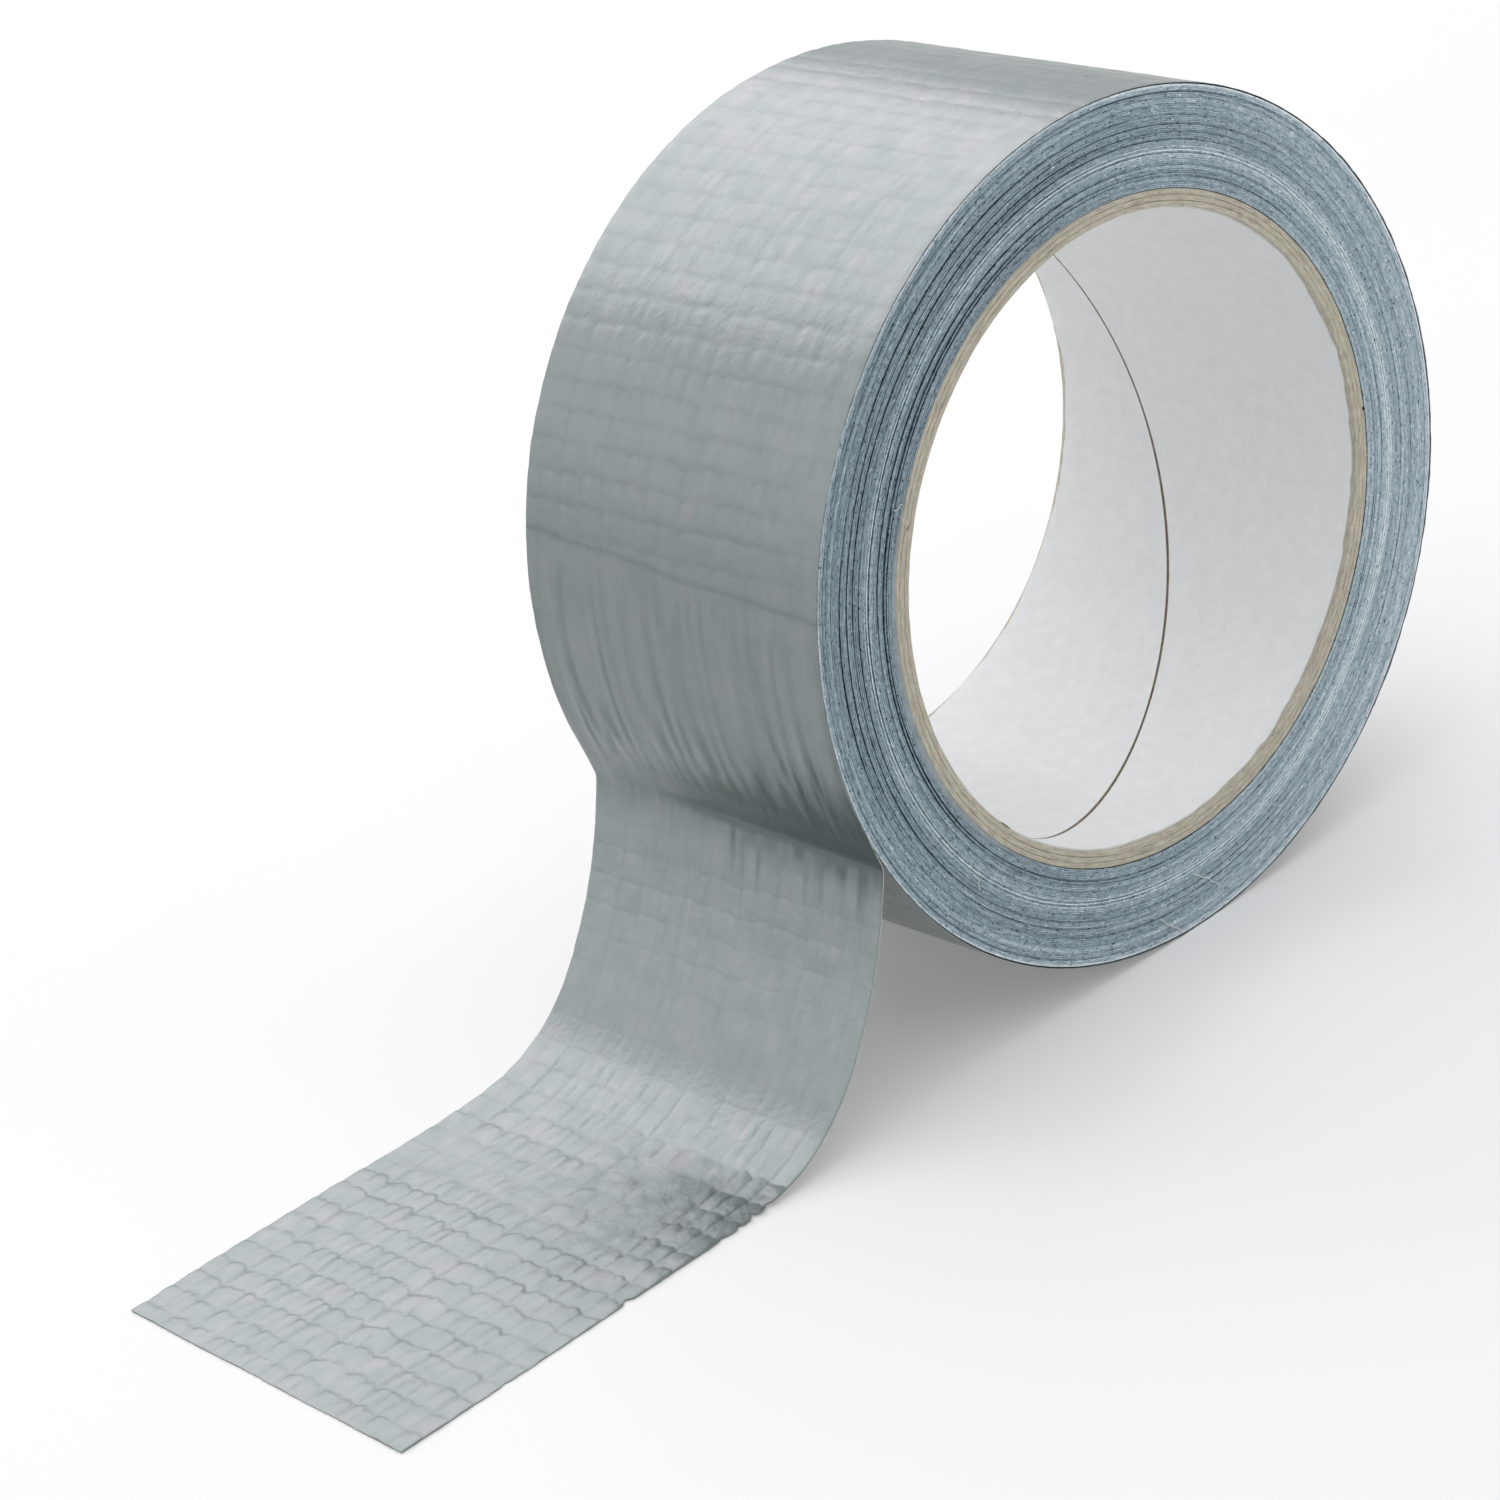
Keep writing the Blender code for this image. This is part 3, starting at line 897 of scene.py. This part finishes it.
def film_material():
    """Silver polyethylene film: aluminium-grey and satin, with faint colour patches and specks, and
    painted shade from the relief.
    """
    shader = Shader("silver_film")
    place = shader.attribute("tape_place")
    painted_shade = shader.attribute("painted_shade", "Fac")
    patches = shader.noise(place, 0.20, 4.0, 0.6)
    shades = [
        (0.30, (0.236, 0.281, 0.275)),
        (0.55, (0.266, 0.301, 0.300)),
        (0.75, (0.300, 0.303, 0.318)),
    ]
    tint = shader.ramp(patches, shades)
    streaks = shader.noise(place, (0.12, 2.4, 1.0), 3.0)
    tint = shader.mix(0.3, tint, shader.ramp(streaks, [(0.3, 0.85), (0.7, 1.0)]), "MULTIPLY")
    specks = shader.step(shader.noise(place, 2.6, 1.0), 0.80, 0.84)
    tint = shader.mix(shader.scaled(specks, 0.35), tint, (0.16, 0.18, 0.19))
    # Painted shade: the film darkened towards dark blue-grey where the relief sets shade.
    tint = shader.mix(shader.scaled(painted_shade, 0.75), tint, (0.055, 0.082, 0.080))
    smudges = shader.noise(place, 0.35, 4.0, 0.6)
    roughness = shader.ramp(smudges, [(0.3, 0.27), (0.7, 0.37)])
    weave = shader.noise(place, (1.3, 1.6, 1.0), 3.0)
    grain = shader.noise(place, 7.0, 2.0)
    normal = shader.bumped(weave, 0.06 * MM, 0.7)
    normal = shader.bumped(grain, 0.010 * MM, 0.8, normal)
    return shader.finish(Base_Color=tint, Metallic=0.5, Roughness=roughness, Normal=normal)


def cotton_material():
    shader = Shader("cotton_scrim")
    place = shader.add("TexCoord", {})["Object"]
    fuzz = shader.noise(place, 14000.0, 3.0)
    tint = shader.ramp(fuzz, [(0.3, (0.55, 0.54, 0.50)), (0.7, (0.80, 0.79, 0.75))])
    normal = shader.bumped(fuzz, 0.012 * MM)
    return shader.finish(Base_Color=tint, Roughness=0.85, Sheen_Weight=0.3, Normal=normal)


def adhesive_material():
    """Rubber adhesive: grey-white and dull, a little tacky, with fine lumps and dust in it."""
    shader = Shader("rubber_adhesive")
    place = shader.attribute("tape_place")
    lumps = shader.noise(place, 1.4, 4.0, 0.6)
    tint = shader.ramp(lumps, [(0.3, (0.42, 0.43, 0.42)), (0.7, (0.58, 0.58, 0.56))])
    strays = shader.strays(place, 0.9)
    strayed = shader.add("VectorMath", {0: place, 1: strays}, operation="ADD")["Vector"]
    warp = shader.lines(strayed, "Y", WARP_PITCH / MM)
    weft = shader.lines(strayed, "X", WEFT_PITCH / MM)
    threads = shader.sum(warp, weft, "MAXIMUM")
    tint = shader.mix(shader.scaled(threads, 0.55), tint, (0.68, 0.675, 0.65))
    roughness = shader.ramp(lumps, [(0.3, 0.38), (0.7, 0.62)])
    normal = shader.bumped(threads, 0.05 * MM)
    normal = shader.bumped(shader.noise(place, 4.0, 3.0), 0.03 * MM, 1.0, normal)
    return shader.finish(Base_Color=tint, Roughness=roughness, Coat_Weight=0.15, Normal=normal)


def edge_material():
    """The cut edges of the wound turns: blue-grey, with painted shade between turns, and cut thread
    ends.
    """
    shader = Shader("wound_tape")
    place = shader.attribute("edge_place")
    tone = shader.attribute("edge_tone_and_shade", "Fac")
    dashes = shader.noise(place, (0.85, 0.85, 4.6), 1.0)
    dots = shader.noise(place, (2.6, 2.6, 4.6), 1.0)
    drift = shader.noise(place, (0.05, 0.05, 0.6), 3.0)
    level = shader.sum(tone, shader.scaled(shader.step(dashes, 0.35, 0.65), 0.22))
    level = shader.sum(level, shader.scaled(shader.step(drift, 0.3, 0.7), 0.10))
    level = shader.sum(level, 0.16, "SUBTRACT")
    level = shader.sum(level, shader.scaled(shader.step(dots, 0.64, 0.74), 0.30))
    pits = shader.ramp(dots, [(0.27, 1.0), (0.37, 0.0)])
    level = shader.sum(level, shader.scaled(pits, 0.50), "SUBTRACT")
    stops = [
        (0.0, (0.020, 0.035, 0.045)),
        (0.25, (0.12, 0.175, 0.21)),
        (0.6, (0.33, 0.42, 0.475)),
        (1.0, (0.78, 0.84, 0.87)),
    ]
    tint = shader.ramp(level, stops)
    roughness = shader.ramp(dashes, [(0.3, 0.42), (0.7, 0.66)])
    normal = shader.bumped(dots, 0.05 * MM, 0.8)
    return shader.finish(Base_Color=tint, Roughness=roughness, Metallic=0.15, Normal=normal)


def tab_material():
    shader = Shader("start_tab")
    place = shader.add("TexCoord", {})["Object"]
    mottle = shader.noise(place, 900.0, 4.0)
    tint = shader.ramp(mottle, [(0.3, (0.20, 0.245, 0.265)), (0.7, (0.31, 0.36, 0.385))])
    normal = shader.bumped(shader.noise(place, 3000.0, 2.0), 0.02 * MM)
    return shader.finish(Base_Color=tint, Roughness=0.42, Metallic=0.3, Normal=normal)


def board_material():
    """Grey board: beige waste-paper fibres laid round the ply, with a few dark ones."""
    shader = Shader("grey_board")
    place = shader.attribute("board_place")
    fibres = shader.noise(place, (0.55, 0.55, 7.0), 4.0, 0.65)
    clumps = shader.noise(place, (0.9, 0.9, 1.4), 3.0)
    stops = [
        (0.28, (0.32, 0.29, 0.22)),
        (0.5, (0.52, 0.485, 0.39)),
        (0.72, (0.68, 0.645, 0.54)),
    ]
    tint = shader.ramp(fibres, stops)
    tint = shader.mix(0.5, tint, shader.ramp(clumps, [(0.3, 0.72), (0.7, 1.0)]), "MULTIPLY")
    flecks = shader.noise(place, (1.6, 1.6, 6.0), 1.0)
    flecks = shader.scaled(shader.step(flecks, 0.70, 0.76), 0.7)
    tint = shader.mix(flecks, tint, (0.10, 0.085, 0.07))
    normal = shader.bumped(fibres, 0.09 * MM)
    return shader.finish(Base_Color=tint, Roughness=0.92, Normal=normal)


def kraft_and_seam_shade_material():
    shader = Shader("kraft_paper_and_seam_shade")
    place = shader.attribute("board_place")
    fibres = shader.noise(shader.stretched(place, (1.0, 1.0, 3.0)), 1.2, 4.0, 0.6)
    # Painted shade: the kraft coloured darker than lit kraft, for the shadow in the seam.
    tint = shader.ramp(fibres, [(0.3, (0.07, 0.055, 0.035)), (0.7, (0.26, 0.20, 0.12))])
    normal = shader.bumped(fibres, 0.05 * MM)
    return shader.finish(Base_Color=tint, Roughness=0.9, Normal=normal)


def paper_material():
    """White liner paper, machine-glazed, with faint mottling and grey flecks."""
    shader = Shader("white_paper")
    place = shader.attribute("board_place")
    mottle = shader.noise(place, 0.55, 5.0, 0.6)
    tint = shader.ramp(mottle, [(0.3, (0.67, 0.685, 0.685)), (0.7, (0.73, 0.74, 0.735))])
    flecks = shader.step(shader.noise(place, 3.4, 1.0), 0.78, 0.81)
    tint = shader.mix(shader.scaled(flecks, 0.6), tint, (0.25, 0.25, 0.24))
    fibres = shader.noise(place, (1.6, 1.6, 5.0), 3.0)
    normal = shader.bumped(fibres, 0.020 * MM)
    return shader.finish(Base_Color=tint, Roughness=0.55, Coat_Weight=0.08, Normal=normal)


def floor_material():
    shader = Shader("studio_floor")
    place = shader.add("TexCoord", {})["Object"]
    tint = shader.ramp(shader.noise(place, 6.0, 2.0), [(0.3, 0.66), (0.7, 0.68)])
    glow = (1.0, 1.0, 1.0, 1.0)
    return shader.finish(Base_Color=tint, Roughness=0.7, Emission_Color=glow, Emission_Strength=0.17)


def dress(obj, material):
    obj.data.materials.append(material)
    return obj


# ---- The roll ----

# Stray threads on the front face: angle and turn in degrees, and start and end radius.
STRAY_THREADS = (
    (269, 6.0, 45.6 * MM, 49.4 * MM),
    (262, 4.0, 49.0 * MM, 52.2 * MM),
    (219, 2.5, 45.2 * MM, 46.4 * MM),
    (301, -1.5, 48.0 * MM, 48.9 * MM),
    (152, 1.5, 41.0 * MM, 42.0 * MM),
)


def stray_thread(angle, turn, start, end, number):
    """A weft thread's loose end, lying over the cut edges."""
    share = np.linspace(0, 1, 40)
    wave = noise(share * 5, number * 3.3, 75)
    radius = start + (end - start) * share + 0.25 * MM * wave
    angles = math.radians(angle) + math.radians(turn) * share
    angles = angles + 0.008 * noise(share * 4, number * 5.1, 76)
    y = FRONT_Y + 0.03 * MM - 0.10 * MM * np.sin(math.pi * share)
    return round_axis(radius, angles, y)


def build_roll(film, cotton, edge, tab):
    """The outermost turn, the wound turns under it, the start of the tape and its loose threads."""
    along = np.linspace(0.2 * MM - CIRCUMFERENCE, -0.2 * MM, 860)
    outer = dress(film_piece("outer_turn", on_roll, along, 96, 0.36, True), film)
    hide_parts("outer_turn_film", "outer_turn_scrim", "outer_turn_adhesive")
    pieces = [outer, dress(start_tab("start_tab"), tab)]
    for name, side in (("wound_front", -1), ("wound_back", 1)):
        half = dress(wound_half(name, side), edge)
        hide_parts("wound_turns")
        pieces.append(half)
    paths = [stray_thread(*thread, number) for number, thread in enumerate(STRAY_THREADS)]
    strays = threads_object("stray_threads", paths, 0.055 * MM, 6)
    pieces.append(dress(strays, cotton))
    for piece in pieces:
        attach(piece, "roll")


def build_core(board, paper, kraft):
    """The plies and the liner. The liner's seam shows the board under it."""
    for number in range(BOARD_PLIES):
        ply = dress(board_ply(f"board_ply_{number + 1}", number), board)
        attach(ply, "roll")
        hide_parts(f"core_board_ply_{number + 1}")
    liner = dress(liner_piece("paper_liner"), paper)
    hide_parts("core_liner")
    for piece in (liner, dress(seam_strip("liner_seam"), kraft)):
        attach(piece, "roll")


# ---- The free end ----

BEND_REACH = 5 * MM


def path_point(along):
    return Vector(on_free_end(np.array(along), np.array(WIDTH / 2), np.array(0.0)))


def along_of(place):
    """The distance along the free end of the point nearest to a hinge."""
    return float(PATH_ALONG[np.argmin(np.hypot(PATH_X - place.x, PATH_Z - place.z))])


def free_end_layers(word, start, end, materials):
    """The three layers of one length of the free end."""
    fine = np.linspace(start, end, round((end - start) / (0.2 * MM)))
    coarse = np.linspace(start, end, round((end - start) / (0.4 * MM)))
    film = film_piece(f"{word}_film", on_free_end, fine, 240, 0.22)
    scrim = scrim_piece(f"{word}_scrim", on_free_end, start, end, word == "lower")
    adhesive = adhesive_piece(f"{word}_adhesive", on_free_end, coarse, 160)
    slots = ("silver_film", "cotton_scrim", "rubber_adhesive")
    for piece, material, slot in zip((film, scrim, adhesive), materials, slots):
        dress(piece, material)
    return {"film": film, "scrim": scrim, "adhesive": adhesive}


def build_length(word, start, end, hinge, bodies, links, holder, materials):
    """One length of the free end: its three layers, which take the place of its links' CAD nodes."""
    pieces = free_end_layers(word, start, end, materials)
    for layer, piece in pieces.items():
        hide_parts(*[f"{link}_{layer}" for link in links])
        near, far = path_point(hinge - BEND_REACH), path_point(hinge + BEND_REACH)
        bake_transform(piece)


def build_free_end(*materials):
    """The free end in two lengths, which meet halfway between its hinges."""
    peel_hinge = along_of(joint_places["peel_bend"])
    foot_hinge = along_of(joint_places["foot_bend"])
    parting = (peel_hinge + foot_hinge) / 2
    peel, hanging, flat = "peel_strip", "hanging_strip", "flat_strip"
    upper = ("upper", LIFT_START, parting, peel_hinge, (peel, hanging), (peel,), "outer_turn")
    lower = ("lower", parting, CUT_END, foot_hinge, (hanging, flat), (hanging, flat), "upper_film")
    build_length(*upper, materials)
    build_length(*lower, materials)


# ---- Floor, light and camera ----

VIEW_TARGET = Vector((0.0043, 0.0133, 0.0307))
VIEW_AZIMUTH = math.radians(-38.26)
VIEW_ELEVATION = math.radians(25.57)
VIEW_ROLL = math.radians(11.28)
VIEW_DISTANCE = 0.5293
VIEW_LENS = 104.6


def build_floor():
    """A pale studio floor, wide enough to have no edge in any view."""
    half = 9.0
    corners = [(-half, -half, 0), (half, -half, 0), (half, half, 0), (-half, half, 0)]
    floor = mesh_object("floor", corners, [(0, 1, 2, 3)])
    dress(floor, floor_material())


def build_camera():
    """The camera at the photograph's angle, tilted sideways as the photograph was taken."""
    camera = bpy.data.objects.new("camera", bpy.data.cameras.new("camera"))
    camera.data.lens = VIEW_LENS
    camera.data.clip_start = 0.02
    level = Euler((math.pi / 2 - VIEW_ELEVATION, 0, VIEW_AZIMUTH)).to_matrix().to_4x4()
    tilted = level @ Matrix.Rotation(-VIEW_ROLL, 4, "Z")
    back = Matrix.Translation((0, 0, VIEW_DISTANCE))
    camera.matrix_world = Matrix.Translation(VIEW_TARGET) @ tilted @ back
    bpy.context.scene.collection.objects.link(camera)
    bpy.context.scene.camera = camera


def area_light(name, place, size, power, colour=(1.0, 1.0, 1.0)):
    lamp = bpy.data.lights.new(name, "AREA")
    lamp.color = colour
    lamp.shape = "RECTANGLE"
    lamp.size, lamp.size_y = size
    lamp.energy = power
    light = bpy.data.objects.new(name, lamp)
    light.location = place
    light.rotation_euler = (VIEW_TARGET - Vector(place)).to_track_quat("-Z", "Y").to_euler()
    bpy.context.scene.collection.objects.link(light)


def build_lights():
    """Soft boxes, the widest behind for the bright band on the roll, in a white room that is
    brightest above and behind."""
    area_light("soft_box_behind", (0.27, 1.20, 1.04), (1.7, 1.0), 9.4, (1.0, 0.905, 0.955))
    area_light("soft_box_above", (-0.3, -0.2, 1.6), (1.8, 1.8), 8.0)
    area_light("soft_box_left", (-1.0, 1.0, 0.48), (1.0, 0.8), 1.7)
    area_light("fill_front_right", (0.7, -1.1, 0.35), (0.8, 0.8), 3.0)
    room = Shader("white_room", bpy.data.worlds, "Background")
    directions = {0: room.add("TexCoord", {})["Generated"], 1: (0.0, 0.60, 0.80)}
    toward = room.add("VectorMath", directions, operation="DOT_PRODUCT")["Value"]
    limits = {"Value": toward, "From Min": -0.6, "From Max": 1.0, "To Min": 0.20, "To Max": 1.00}
    strength = room.add("MapRange", limits)["Result"]
    bpy.context.scene.world = room.finish(Color=(0.97, 0.985, 1.0, 1), Strength=strength)
    bpy.context.scene.view_settings.view_transform = "Standard"


def build():
    film, cotton, adhesive = film_material(), cotton_material(), adhesive_material()
    build_roll(film, cotton, edge_material(), tab_material())
    build_core(board_material(), paper_material(), kraft_and_seam_shade_material())
    build_free_end(film, cotton, adhesive)
    build_floor()
    build_lights()
    build_camera()


build()
